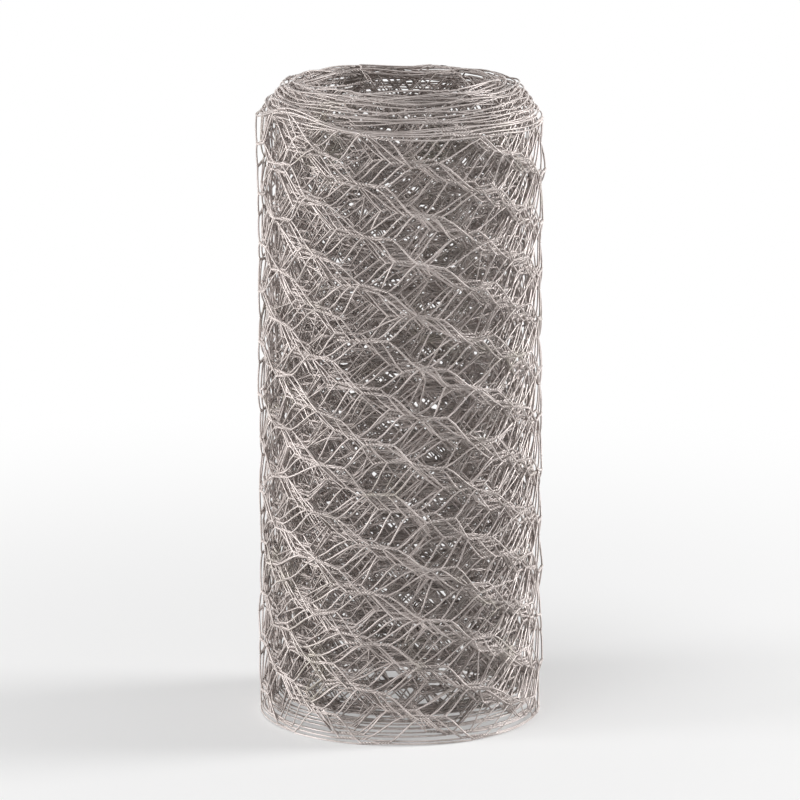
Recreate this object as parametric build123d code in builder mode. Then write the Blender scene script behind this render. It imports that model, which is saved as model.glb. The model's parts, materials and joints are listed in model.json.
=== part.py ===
import os
from math import cos, radians, sin

from build123d import *

# A roll of hexagonal wire netting (chicken wire), standing on one end, as one turned solid with its bore.
# Millimetres, +Z up along the roll's axis, origin at the middle of the end that it stands on.

# The netting, laid flat
mesh_size = 25.4  # one mesh, across its two twisted sides
mesh_rows = 12  # whole meshes across the netting's width

# The roll
bore_radius = 46.5
turn_pitch = 0.925  # from one turn to the next: twists of a turn nest in the open meshes of its neighbours
turns_in_bundle = 2  # turns that have kept together where the rest have slid past each other
bundle_count = 13  # under the outermost turn, which lies round them by itself

# How far the bundles have slid, which cones the upper end and dishes the lower one
stepped_bundles = 7  # outer bundles, each standing higher than what lies round it
bundle_rise = 2.05
level_bundle_play = 0.7  # every other one of the level bundles inside them stands this much lower

# The outermost turn, which laps over the turn under it and ends in a step
free_end_angle = 52  # degrees from +X, anticlockwise
lap_points = 12  # points that the outermost turn's outline is drawn through
lap_depth = 0.45  # how deep the outermost turn is pressed into the one under it

netting_width = mesh_size * mesh_rows
bundle_thickness = turns_in_bundle * turn_pitch
bundles_radius = bore_radius + bundle_count * bundle_thickness


def edge_height(bundle):
    # Height of a bundle's lower edge above the floor, bundle 0 being the one round the bore
    from_outside = bundle_count - bundle
    steps = min(from_outside, stepped_bundles)
    is_level = from_outside > stepped_bundles
    return steps * bundle_rise - (bundle % 2) * level_bundle_play * is_level


def outermost_point(share):
    # Point on the outermost turn's outer side, at a share of the way round from where it leaves the free end
    angle = radians(free_end_angle + 360 * share)
    radius = bundles_radius + turn_pitch * share
    return radius * cos(angle), radius * sin(angle)


with BuildPart() as netting_roll:
    # Each bundle is a tall thin ring of the netting's width, and the steps between them are the turns' edges
    with BuildSketch(Plane.XZ):
        for bundle in range(bundle_count):
            with Locations((bore_radius + bundle * bundle_thickness, edge_height(bundle))):
                Rectangle(bundle_thickness, netting_width, align=(Align.MIN, Align.MIN))
    revolve(axis=Axis.Z)

    # The outermost turn winds outwards by one pitch and stops in a step, where the cut end of the netting lies
    with BuildSketch():
        with BuildLine():
            outline = Spline([outermost_point(point / lap_points) for point in range(lap_points + 1)])
            Line(outline @ 1, outline @ 0)
        make_face()
        Circle(bundles_radius - lap_depth, mode=Mode.SUBTRACT)
    extrude(amount=netting_width)

netting_roll.part.label = "netting_roll"

os.makedirs("parts", exist_ok=True)
export_step(netting_roll.part, "parts/netting_roll.step")
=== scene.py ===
import json
from math import cos, pi, radians, sin, tan

import bpy
import numpy as np
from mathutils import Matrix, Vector


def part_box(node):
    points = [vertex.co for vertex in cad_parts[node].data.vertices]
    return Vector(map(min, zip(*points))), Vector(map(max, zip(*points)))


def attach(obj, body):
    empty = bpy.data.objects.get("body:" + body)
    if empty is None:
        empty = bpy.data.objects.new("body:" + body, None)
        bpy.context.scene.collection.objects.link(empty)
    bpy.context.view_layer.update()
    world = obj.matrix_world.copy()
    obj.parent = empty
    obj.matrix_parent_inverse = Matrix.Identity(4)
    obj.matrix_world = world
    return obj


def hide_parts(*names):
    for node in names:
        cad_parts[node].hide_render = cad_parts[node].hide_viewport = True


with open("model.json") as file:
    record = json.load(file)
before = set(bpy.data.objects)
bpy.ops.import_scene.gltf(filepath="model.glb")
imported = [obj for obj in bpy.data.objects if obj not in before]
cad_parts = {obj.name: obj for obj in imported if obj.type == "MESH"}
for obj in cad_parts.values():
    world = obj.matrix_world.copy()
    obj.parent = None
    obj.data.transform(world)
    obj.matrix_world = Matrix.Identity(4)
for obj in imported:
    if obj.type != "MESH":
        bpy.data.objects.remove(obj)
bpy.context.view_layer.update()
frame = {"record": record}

# A roll of hexagonal wire netting standing on its end, built wire by wire: the flat netting is woven first,
# as distances along it, across it and out of it, and is then wound into the roll. All lengths in metres.

# Sizes of the roll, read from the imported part

rollLow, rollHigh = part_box("netting_roll")
boreMount = next(mount for mount in frame["record"]["mounts"] if mount["name"] == "bore")
boreRadius = boreMount["dims"]["r_mm"] / 1000
nettingWidth = boreMount["dims"]["length_mm"] / 1000
outerRadius = max(rollHigh.x, rollHigh.y, -rollLow.x, -rollLow.y)
slippedHeight = rollHigh.z - nettingWidth  # how far the inner turns stand above the outermost one

netting = {
    "wire": 0.0008,  # diameter
    "rows": 12,  # whole meshes across the netting
    "innerSpacing": 0.02529,  # along the netting, from one column of twists to the next
    "outerSpacing": 0.02819,  # the netting was pulled longer as the roll grew
    "innerEnd": 0.02,  # no column of twists lies nearer than this to the end at the bore
    "twistLength": 0.01503,
    "twistGap": 0.0026,  # in the middle of a twist, where it changes hand
    "bendEase": 0.12,  # rounds the bends between a twist and the slanting wire, 0 leaves them sharp
    "stiffness": 0.7,  # 1 leaves the twists straight, 0 bends them to the roll
    "edgeInset": 0.0012,  # keeps the selvedge inside the netting's width
    "seed": 11,
    "looseAlong": 0.0009,  # scatter of the twists
    "looseAcross": 0.0005,
    "looseOut": 0.0003,
    "looseTilt": radians(7),
    "edgeShare": 0.3,  # how much of the scatter across and of the tilt the selvedges keep
    "looseSlide": 0.0017,  # scatter along one slant of the mesh, the way in which the netting gives most
    "slideAngle": radians(-24),  # from along the netting towards across it
    "slideGain": 1.4,  # with slideDrop, how fast its part across the netting grows inwards from the edges
    "slideDrop": 0.2,
    "stretch": 0.001,  # slow drift of the mesh off its regular grid
    "slideStretch": 0.0018,  # the same along that slant
    "driftWaves": 5,  # waves in a slow drift, and the range of their lengths
    "driftAlong": (0.09, 0.30),
    "driftAcross": (0.12, 0.40),
}

winding = {
    "turns": 27,
    "freeEndAngle": radians(52),  # from +X, anticlockwise
    "startPhase": 0.79714,  # shifts the columns round the roll, in mesh lengths
    "longerFrom": 20.154,  # turns from the bore, from where the spacing of the columns grows
    "steppedTurns": 15,  # outer turns, each lower than the one inside it
    "bundleSizes": (2, 3),  # turns that have slipped together
    "stepRange": (0.7, 1.3),  # a bundle's step for each of its turns, before all are fitted to the height
    "turnRange": (0, 0.25),  # the small step of each single turn, in the same measure
    "levelPlay": 0.0060,  # how much lower every other one of the level turns inside them may stand
    "frontRise": 0.0035,  # how much higher the level turns stand at the front
    "frontRiseFade": 3,  # turns over which that comes to nothing in the stepped ones
    "stepSeed": 218,
    "springOut": 0.0016,  # how far loose spots of the outermost turn stand out
    "springLeast": 0.3,  # the least of it, as a share
    "springShare": 0.16,  # how many of the outermost turn's twists are loose
    "edgeRise": 0.009,  # how far the outermost turns' upper edge has ridden up in one place
    "edgeRiseAngle": radians(-48),  # from the front, to the right
    "edgeRiseSpread": radians(22),
    "edgeRiseTurns": 2.6,  # it begins this many turns from the outside
    "edgeRiseEase": 0.6,  # and has its full height this many turns further on
    "edgeWave": (0.0026, 0.0010),  # slow rise and fall of the upper edge, in the innermost and the last turn
    "edgeWaveCount": 5,
    "edgeWaveLength": (0.05, 0.30),
}

random = np.random.default_rng(netting["seed"])
innerRadius = boreRadius + netting["wire"]
lastRadius = outerRadius - netting["wire"]
pitch = (lastRadius - innerRadius) / winding["turns"]
nettingLength = pi * (innerRadius + lastRadius) * winding["turns"]
meshSize = (nettingWidth - 2 * netting["edgeInset"]) / netting["rows"]


def stepHeights():
    # Height of each turn above the outermost one. Bundles of turns have slipped together, so steps differ
    chance = np.random.default_rng(winding["stepSeed"])
    count = winding["steppedTurns"]
    steps = np.zeros(count)
    turn = 0
    while turn < count:
        bundle = int(chance.choice(winding["bundleSizes"]))
        steps[turn] = bundle * chance.uniform(*winding["stepRange"])
        turn += bundle
    steps += chance.uniform(*winding["turnRange"], count)
    steps *= slippedHeight / steps.sum()
    fromOutside = winding["turns"] - 1 - np.arange(winding["turns"] + 1)
    play = chance.uniform(0, winding["levelPlay"], winding["turns"] + 1)
    play *= (fromOutside > count) & (fromOutside % 2 == 0)
    return np.array([steps[: max(0, min(far, count))].sum() for far in fromOutside]) - play


def turnsAt(along):
    # Turns from the bore to a place along the netting
    return (-innerRadius + np.sqrt(innerRadius ** 2 + pitch * along / pi)) / pitch


def columnPlaces():
    # Where the columns of twists lie along the netting, found from the free end inwards
    places = [nettingLength - 2 * winding["startPhase"] * netting["outerSpacing"]]
    while places[-1] > netting["innerEnd"]:
        share = (turnsAt(places[-1]) - winding["longerFrom"]) / (winding["turns"] - winding["longerFrom"])
        longer = (netting["outerSpacing"] - netting["innerSpacing"]) * min(max(share, 0), 1)
        places.append(places[-1] - netting["innerSpacing"] - longer)
    return np.array(places[-2::-1])


turnHeights = stepHeights()
columnAlong = columnPlaces()
columnCount = len(columnAlong)
onWholeRows = (columnCount - np.arange(columnCount)) % 2 == 0  # the columns with a twist on both selvedges


def smoothDrift(along, across):
    # A slow wandering value between about -1 and 1 over the flat netting
    total = 0
    for wave in range(netting["driftWaves"]):
        lengthAlong = random.uniform(*netting["driftAlong"])
        lengthAcross = random.uniform(*netting["driftAcross"])
        phase = random.uniform(0, 2 * pi)
        total = total + np.sin(2 * pi * (along / lengthAlong + across / lengthAcross) + phase)
    return total / netting["driftWaves"] ** 0.5


# Scatter of each twist, by column and row, shared by the two wires in it

gridShape = (columnCount, netting["rows"] + 1)
strayAlong = random.normal(0, netting["looseAlong"], gridShape)
strayAcross = random.normal(0, netting["looseAcross"], gridShape)
strayAcross[:, 0] = abs(strayAcross[:, 0])  # the lower selvedge strays only upwards, away from the floor
strayAcross[:, [0, -1]] *= netting["edgeShare"]
strayOut = random.normal(0, netting["looseOut"], gridShape)
strayTilt = random.normal(0, netting["looseTilt"], gridShape)
strayTilt[:, [0, -1]] *= netting["edgeShare"]
sprung = random.uniform(0, 1, gridShape) < winding["springShare"]
springOut = sprung * random.uniform(winding["springLeast"], 1, gridShape) * winding["springOut"]
gridAlong = columnAlong[:, None] + np.zeros(gridShape)
rowShift = np.where(onWholeRows, 0, 0.5)[:, None]
gridAcross = netting["edgeInset"] + (np.arange(netting["rows"] + 1)[None, :] + rowShift) * meshSize
edgeHold = np.sin(pi * np.clip(gridAcross / nettingWidth, 0, 1)) ** 0.5  # the edges stay straight
slideHold = np.clip(netting["slideGain"] * edgeHold - netting["slideDrop"], 0, 1)
slide = random.normal(0, netting["looseSlide"], gridShape)
slide = slide + netting["slideStretch"] * smoothDrift(gridAlong, gridAcross)
strayAcross = strayAcross + slide * sin(netting["slideAngle"]) * slideHold
strayAlong = strayAlong + slide * cos(netting["slideAngle"])
gridAcross = gridAcross + strayAcross + netting["stretch"] * edgeHold * smoothDrift(gridAlong, gridAcross)
gridAlong = gridAlong + strayAlong + netting["stretch"] * smoothDrift(gridAlong, gridAcross)
onOutermost = columnAlong > nettingLength - 2 * pi * lastRadius
gridOut = strayOut + springOut * onOutermost[:, None]

edgeWaves = []  # length and phase of each
for wave in range(winding["edgeWaveCount"]):
    edgeWaves.append((random.uniform(*winding["edgeWaveLength"]), random.uniform(0, 2 * pi)))

print("netting laid out,", columnCount, "columns of twists in", round(nettingLength, 2), "m")


def windUp(along, across, out):
    # Winds the flat netting into the roll, outwards and anticlockwise seen from above
    turns = turnsAt(along)
    angle = winding["freeEndAngle"] - 2 * pi * (winding["turns"] - turns)
    radius = innerRadius + pitch * turns + out
    whole = np.clip(np.floor(turns).astype(int), 0, winding["turns"] - 1)
    share = np.clip(turns - whole, 0, 1)
    height = across + turnHeights[whole] * (1 - share) + turnHeights[whole + 1] * share
    upward = np.clip(across / nettingWidth, 0, 1)
    wave = sum(np.sin(2 * pi * along / length + phase) for length, phase in edgeWaves)
    wave = wave / len(edgeWaves) ** 0.5
    height = height + np.interp(turns, (0, winding["turns"]), winding["edgeWave"]) * wave * upward
    fromFront = (angle + pi / 2 + pi) % (2 * pi) - pi
    outermost = (turns - (winding["turns"] - winding["edgeRiseTurns"])) / winding["edgeRiseEase"]
    rise = np.exp(-((fromFront - winding["edgeRiseAngle"]) / winding["edgeRiseSpread"]) ** 2)
    height = height + winding["edgeRise"] * rise * np.clip(outermost, 0, 1) * upward ** 2
    levelEnd = winding["turns"] - winding["steppedTurns"] + winding["frontRiseFade"]
    level = np.clip((levelEnd - turns) / winding["frontRiseFade"], 0, 1)
    height = height + winding["frontRise"] * level * (0.5 + 0.5 * np.cos(fromFront)) * upward
    return np.stack([radius * np.cos(angle), radius * np.sin(angle), height], axis=-1), angle


def twistPath(columns, rowOfColumn, side, detail):
    # One wire's course through its twist in each column. side is +1 for the wire that comes in above
    armLength = (netting["twistLength"] - netting["twistGap"]) / 2
    arm = np.linspace(0, 1, detail["armSteps"] + 1)
    firstArm = -netting["twistLength"] / 2 + arm * armLength
    secondArm = netting["twistGap"] / 2 + arm * armLength
    distance = np.concatenate([firstArm, secondArm])
    turned = np.concatenate([arm, arm[::-1]]) * detail["armTurns"] * 2 * pi
    tilt = strayTilt[columns, rowOfColumn][..., None]
    # A straight twist stands out from the roll's curve at its ends and in from it at its middle
    radius = (innerRadius + lastRadius) / 2
    bow = netting["stiffness"] * (distance ** 2 - netting["twistLength"] ** 2 / 12) / (2 * radius)
    along = gridAlong[columns, rowOfColumn][..., None] + distance * np.cos(tilt)
    across = gridAcross[columns, rowOfColumn][..., None] + distance * np.sin(tilt)
    across = across + side[..., None] * np.cos(turned) * netting["wire"] / 2
    out = gridOut[columns, rowOfColumn][..., None] + bow
    out = out + side[..., None] * np.sin(turned) * netting["wire"] / 2
    return along, across, out


def joinPaths(parts, steps):
    # Adds the slanting run from each twist to the next, eased at its ends so that the bends are round
    between = np.linspace(0, 1, steps + 1)[1:-1]
    eased = between - netting["bendEase"] * np.sin(2 * pi * between) / pi
    course = []
    for values, share in zip(parts, (between, eased, eased)):
        start = values[:, :-1, -1:]
        stop = values[:, 1:, :1]
        run = np.concatenate([start + (stop - start) * share, values[:, -1:, : len(share)]], axis=1)
        joined = np.concatenate([values, run], axis=2).reshape(values.shape[0], -1)
        course.append(joined[:, : joined.shape[1] - len(share)])
    return course


def meshWires(firstColumn, lastColumn, detail):
    # Courses of the wires between two columns. Each wire runs the netting's whole length, and meets the
    # wire above it and the wire below it in turn
    columns = np.arange(firstColumn, lastColumn + 1)[None, :]
    wires = np.arange(2 * netting["rows"])[:, None]
    whole = onWholeRows[columns]
    row = np.where(whole, (wires + 1) // 2, wires // 2)
    side = np.where(whole == (wires % 2 == 0), 1.0, -1.0)
    columns = columns + np.zeros_like(row)
    course = joinPaths(twistPath(columns, row, side, detail), detail["slantSteps"])
    return trimEnds(course, firstColumn, lastColumn, detail)


def trimEnds(course, firstColumn, lastColumn, detail):
    # The netting was cut off through the middle of its twists, so its end columns keep half of each. Any
    # other stretch stops at its last column's first point, where the next stretch begins
    half = detail["armSteps"] + 1
    length = course[0].shape[1]
    start = half if firstColumn == 0 else 0
    stop = length - half if lastColumn == columnCount - 1 else length - 2 * half + 1
    return [values[:, start:stop] for values in course]


def selvedgeWires(firstColumn, lastColumn, detail):
    # The straight wire along each edge, twisted with the edge's meshes
    whole = firstColumn + np.flatnonzero(onWholeRows[firstColumn : lastColumn + 1])
    columns = np.repeat(whole[None, :], 2, axis=0)
    row = np.array([[0], [netting["rows"]]]) + np.zeros_like(columns)
    side = np.array([[-1.0], [1.0]]) + np.zeros(columns.shape)
    return joinPaths(twistPath(columns, row, side, detail), detail["edgeSteps"])


def tubes(points, outward, radius, sides):
    # Closed round tubes along courses of equal length, as vertices and faces
    count, length, _ = points.shape
    ahead = np.gradient(points, axis=1)
    ahead /= np.linalg.norm(ahead, axis=2, keepdims=True)
    upward = outward - (outward * ahead).sum(2, keepdims=True) * ahead
    upward /= np.linalg.norm(upward, axis=2, keepdims=True)
    sideways = np.cross(ahead, upward)
    fullness = pi / (sides * sin(pi / sides))  # a tube of few sides is as wide to the eye as the round wire
    around = np.arange(sides) * 2 * pi / sides
    ring = np.cos(around)[:, None] * upward[:, :, None, :]
    ring = ring + np.sin(around)[:, None] * sideways[:, :, None, :]
    vertices = (points[:, :, None, :] + radius * fullness * ring).reshape(-1, 3)
    index = np.arange(count * length * sides).reshape(count, length, sides)
    here, there = index[:, :-1], index[:, 1:]
    quads = np.stack([here, np.roll(here, -1, 2), np.roll(there, -1, 2), there], axis=-1).reshape(-1, 4)
    caps = np.concatenate([index[:, 0, ::-1], index[:, -1, :]])
    return vertices, quads, caps


def makePiece(name, bundles, material):
    # One mesh object from several bundles of tubes
    vertices, corners, sizes, base = [], [], [], 0
    for points, quads, caps in bundles:
        vertices.append(points)
        corners += [(quads + base).ravel(), (caps + base).ravel()]
        sizes += [np.full(len(quads), 4), np.full(len(caps), caps.shape[1])]
        base += len(points)
    vertices, corners, sizes = np.concatenate(vertices), np.concatenate(corners), np.concatenate(sizes)
    mesh = bpy.data.meshes.new(name)
    mesh.vertices.add(len(vertices))
    mesh.vertices.foreach_set("co", vertices.astype(np.float32).ravel())
    mesh.loops.add(len(corners))
    mesh.loops.foreach_set("vertex_index", corners.astype(np.int32))
    mesh.polygons.add(len(sizes))
    mesh.polygons.foreach_set("loop_start", (np.cumsum(sizes) - sizes).astype(np.int32))
    mesh.polygons.foreach_set("use_smooth", np.ones(len(sizes), bool))
    mesh.update(calc_edges=True)
    mesh.materials.append(material)
    piece = bpy.data.objects.new(name, mesh)
    bpy.context.scene.collection.objects.link(piece)
    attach(piece, "root")
    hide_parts("netting_roll")
    triangles = int((sizes - 2).sum())
    print(name, "triangles", triangles)
    return triangles


# The finish: dull warm grey zinc, in brighter and duller patches with a fine grain and a slight stain

zinc = {
    "bright": (0.70, 0.635, 0.61, 1),
    "plain": (0.56, 0.50, 0.475, 1),
    "dull": (0.38, 0.335, 0.315, 1),
    "stain": (0.41, 0.385, 0.32, 1),
    "metallic": 0.22,
    "patchScale": 55,  # scales are per metre
    "patchStops": (0.34, 0.50, 0.66),  # noise levels at which the zinc is dull, plain and bright
    "grainScale": 900,
    "grainStops": (0.30, 0.52, 0.74),
    "grainShareScale": 220,
    "grainShareStops": (0.35, 0.65),
    "grainShare": (0.25, 0.55),  # how much the grain shows over the patches, from spot to spot
    "stainScale": 33,
    "stainStops": (0.60, 0.72),
    "stainShare": (0, 0.6),
    "roughStops": (0.25, 0.75),
    "rough": (0.32, 0.58),
    "bumpHeight": 0.00006,
    "bumpStrength": 0.6,
}


def zincMaterial():
    material = bpy.data.materials.new("galvanised_wire")
    material.use_nodes = True
    nodes, links = material.node_tree.nodes, material.node_tree.links
    shader = nodes["Principled BSDF"]
    shader.inputs["Metallic"].default_value = zinc["metallic"]
    place = nodes.new("ShaderNodeTexCoord")
    zincColours = (zinc["dull"], zinc["plain"], zinc["bright"])

    def noise(scale, detail):
        node = nodes.new("ShaderNodeTexNoise")
        node.inputs["Scale"].default_value = scale
        node.inputs["Detail"].default_value = detail
        links.new(place.outputs["Object"], node.inputs["Vector"])
        return node.outputs["Fac"]

    def ramp(value, stops, colours):
        # Each colour is a whole one, or one number for a grey
        node = nodes.new("ShaderNodeValToRGB")
        links.new(value, node.inputs["Fac"])
        while len(node.color_ramp.elements) < len(stops):
            node.color_ramp.elements.new(0.5)
        for element, stop, colour in zip(node.color_ramp.elements, stops, colours):
            element.position = stop
            element.color = colour if isinstance(colour, tuple) else (colour, colour, colour, 1)
        return node.outputs["Color"]

    def blend(factor, first, second):
        # second is a node's output or a plain colour
        node = nodes.new("ShaderNodeMix")
        node.data_type = "RGBA"
        links.new(factor, node.inputs["Factor"])
        links.new(first, node.inputs["A"])
        if isinstance(second, tuple):
            node.inputs["B"].default_value = second
        else:
            links.new(second, node.inputs["B"])
        return node.outputs["Result"]

    patches = noise(zinc["patchScale"], 4)
    grain = noise(zinc["grainScale"], 3)
    colour = ramp(patches, zinc["patchStops"], zincColours)
    grainy = ramp(grain, zinc["grainStops"], zincColours)
    grainShare = ramp(noise(zinc["grainShareScale"], 2), zinc["grainShareStops"], zinc["grainShare"])
    mottled = blend(grainShare, colour, grainy)
    stained = ramp(noise(zinc["stainScale"], 3), zinc["stainStops"], zinc["stainShare"])
    links.new(blend(stained, mottled, zinc["stain"]), shader.inputs["Base Color"])
    links.new(ramp(grain, zinc["roughStops"], zinc["rough"]), shader.inputs["Roughness"])
    bump = nodes.new("ShaderNodeBump")
    bump.inputs["Distance"].default_value = zinc["bumpHeight"]
    bump.inputs["Strength"].default_value = zinc["bumpStrength"]
    links.new(grain, bump.inputs["Height"])
    links.new(bump.outputs["Normal"], shader.inputs["Normal"])
    return material


# The netting, in stretches from the bore outwards, as turns. The turns that show have the most steps.
# armSteps and armTurns are the steps and the full turns of each hand of a twist, slantSteps and edgeSteps
# the steps from one twist to the next, and sides are those of the wire's tube

stretches = {
    "netting_bore_turns": {
        "from": 0, "to": 1.5, "armSteps": 8, "armTurns": 2, "slantSteps": 2, "edgeSteps": 6, "sides": 4,
    },
    "netting_inner_turns": {
        "from": 1.5, "to": 8, "armSteps": 3, "armTurns": 1, "slantSteps": 2, "edgeSteps": 6, "sides": 3,
    },
    "netting_middle_turns": {
        "from": 8, "to": 14, "armSteps": 3, "armTurns": 1, "slantSteps": 2, "edgeSteps": 6, "sides": 3,
    },
    "netting_packed_turns": {
        "from": 14, "to": 19, "armSteps": 3, "armTurns": 1, "slantSteps": 2, "edgeSteps": 6, "sides": 3,
    },
    "netting_under_turns": {
        "from": 19, "to": 23.5, "armSteps": 7, "armTurns": 2, "slantSteps": 2, "edgeSteps": 8, "sides": 3,
    },
    "netting_second_turns": {
        "from": 23.5, "to": 25.4, "armSteps": 9, "armTurns": 2, "slantSteps": 3, "edgeSteps": 8, "sides": 4,
    },
    "netting_outer_turn": {
        "from": 25.4, "to": 27, "armSteps": 14, "armTurns": 2, "slantSteps": 4, "edgeSteps": 12, "sides": 4,
    },
}


def columnAtTurn(turns):
    # The ends, or the nearest column in which one stretch's selvedge can meet the next one's
    if turns in (0, winding["turns"]):
        return 0 if turns == 0 else columnCount - 1
    whole = np.flatnonzero(onWholeRows)
    return int(whole[abs(turnsAt(columnAlong[whole]) - turns).argmin()])


def buildNetting(material):
    total = 0
    for name, stretch in stretches.items():
        first, last = columnAtTurn(stretch["from"]), columnAtTurn(stretch["to"])
        bundles = []
        for course in (meshWires(first, last, stretch), selvedgeWires(first, last, stretch)):
            points, angle = windUp(*course)
            outward = np.stack([np.cos(angle), np.sin(angle), np.zeros_like(angle)], axis=-1)
            bundles.append(tubes(points, outward, netting["wire"] / 2, stretch["sides"]))
        total += makePiece(name, bundles, material)
    print("netting wound, triangles in all", total)


wireZinc = zincMaterial()
print("zinc finish made")
buildNetting(wireZinc)

# Floor, light and camera

studio = {
    "floorColour": (0.88, 0.88, 0.88, 1),
    "floorSize": 30,
    "floorGlowNear": 0.35,  # how much plain white the camera sees in the floor, at the roll
    "floorGlowFar": 1,  # and at glowReach from its axis and beyond
    "glowReach": 0.7,
    "backgroundColour": (1, 1, 1, 1),
    "ambient": 0.11,
    "lampDistance": 2.0,
    "lampSize": 0.8,
    "lamps": {  # azimuth from the front, to the right
        "left": {"azimuth": radians(-75), "elevation": radians(4), "power": 46},
        "right": {"azimuth": radians(98), "elevation": radians(15), "power": 47},
        "top": {"azimuth": radians(-30), "elevation": radians(70), "power": 13},
    },
}

view = {
    "elevation": radians(10),  # measured at the upper edge of the outermost turn
    "distance": 3.0,
    "frameHeight": 0.39,  # what the picture's height spans at the roll
    "sensor": 36,  # millimetres
    "clipEnd": 100,
}

rollMiddle = Vector((0, 0, (rollLow.z + rollHigh.z) / 2))


def whiteForCamera(nodes, links):
    # 1 for rays that see the background directly, in a mirror or through glass
    path = nodes.new("ShaderNodeLightPath")
    seen = path.outputs["Is Camera Ray"]
    for ray in ("Is Glossy Ray", "Is Transmission Ray"):
        larger = nodes.new("ShaderNodeMath")
        larger.operation = "MAXIMUM"
        links.new(seen, larger.inputs[0])
        links.new(path.outputs[ray], larger.inputs[1])
        seen = larger.outputs[0]
    return seen


def floorMaterial():
    # Pale and matt, and for the camera it passes into plain white away from the roll
    material = bpy.data.materials.new("floor")
    material.use_nodes = True
    nodes, links = material.node_tree.nodes, material.node_tree.links
    nodes.clear()
    output = nodes.new("ShaderNodeOutputMaterial")
    diffuse = nodes.new("ShaderNodeBsdfDiffuse")
    diffuse.inputs["Color"].default_value = studio["floorColour"]
    glow = nodes.new("ShaderNodeEmission")
    mix = nodes.new("ShaderNodeMixShader")
    geometry = nodes.new("ShaderNodeNewGeometry")
    away = nodes.new("ShaderNodeVectorMath")
    away.operation = "LENGTH"
    links.new(geometry.outputs["Position"], away.inputs[0])
    reach = nodes.new("ShaderNodeMapRange")
    reach.interpolation_type = "SMOOTHSTEP"
    reach.inputs["From Min"].default_value = outerRadius
    reach.inputs["From Max"].default_value = studio["glowReach"]
    reach.inputs["To Min"].default_value = studio["floorGlowNear"]
    reach.inputs["To Max"].default_value = studio["floorGlowFar"]
    links.new(away.outputs["Value"], reach.inputs["Value"])
    share = nodes.new("ShaderNodeMath")
    share.operation = "MULTIPLY"
    links.new(whiteForCamera(nodes, links), share.inputs[0])
    links.new(reach.outputs["Result"], share.inputs[1])
    links.new(share.outputs[0], mix.inputs["Fac"])
    links.new(diffuse.outputs[0], mix.inputs[1])
    links.new(glow.outputs[0], mix.inputs[2])
    links.new(mix.outputs[0], output.inputs["Surface"])
    return material


def buildFloor():
    mesh = bpy.data.meshes.new("floor")
    half = studio["floorSize"] / 2
    corners = [(-half, -half, 0), (half, -half, 0), (half, half, 0), (-half, half, 0)]
    mesh.from_pydata(corners, [], [(0, 1, 2, 3)])
    mesh.materials.append(floorMaterial())
    floor = bpy.data.objects.new("floor", mesh)
    bpy.context.scene.collection.objects.link(floor)


def buildLight():
    # The world lights the roll at its own level, and the camera sees plain white in it
    world = bpy.data.worlds.new("studio")
    bpy.context.scene.world = world
    world.use_nodes = True
    nodes, links = world.node_tree.nodes, world.node_tree.links
    background = nodes["Background"]
    background.inputs["Strength"].default_value = studio["ambient"]
    background.inputs["Color"].default_value = studio["backgroundColour"]
    white = nodes.new("ShaderNodeBackground")
    white.inputs["Strength"].default_value = 1
    white.inputs["Color"].default_value = studio["backgroundColour"]
    mix = nodes.new("ShaderNodeMixShader")
    links.new(whiteForCamera(nodes, links), mix.inputs["Fac"])
    links.new(background.outputs[0], mix.inputs[1])
    links.new(white.outputs[0], mix.inputs[2])
    links.new(mix.outputs[0], nodes["World Output"].inputs["Surface"])

    for name, setting in studio["lamps"].items():
        azimuth, elevation = setting["azimuth"], setting["elevation"]
        toward = Vector((sin(azimuth) * cos(elevation), -cos(azimuth) * cos(elevation), sin(elevation)))
        lamp = bpy.data.lights.new(name, "AREA")
        lamp.shape = "DISK"
        lamp.size = studio["lampSize"]
        lamp.energy = setting["power"]
        lampObject = bpy.data.objects.new(name, lamp)
        lampObject.location = rollMiddle + toward * studio["lampDistance"]
        lampObject.rotation_euler = (-toward).to_track_quat("-Z", "Y").to_euler()
        bpy.context.scene.collection.objects.link(lampObject)


def buildCamera():
    lens = bpy.data.cameras.new("camera")
    lens.sensor_width = view["sensor"]
    lens.lens = view["sensor"] * view["distance"] / view["frameHeight"]
    lens.clip_end = view["clipEnd"]
    camera = bpy.data.objects.new("camera", lens)
    upperEdge = rollHigh.z - slippedHeight
    camera.location = (0, -view["distance"], upperEdge + view["distance"] * tan(view["elevation"]))
    camera.rotation_euler = (rollMiddle - camera.location).to_track_quat("-Z", "Y").to_euler()
    bpy.context.scene.collection.objects.link(camera)
    bpy.context.scene.camera = camera


buildFloor()
buildLight()
print("floor and light placed")
buildCamera()
bpy.context.scene.view_settings.view_transform = "Standard"
print("camera placed")
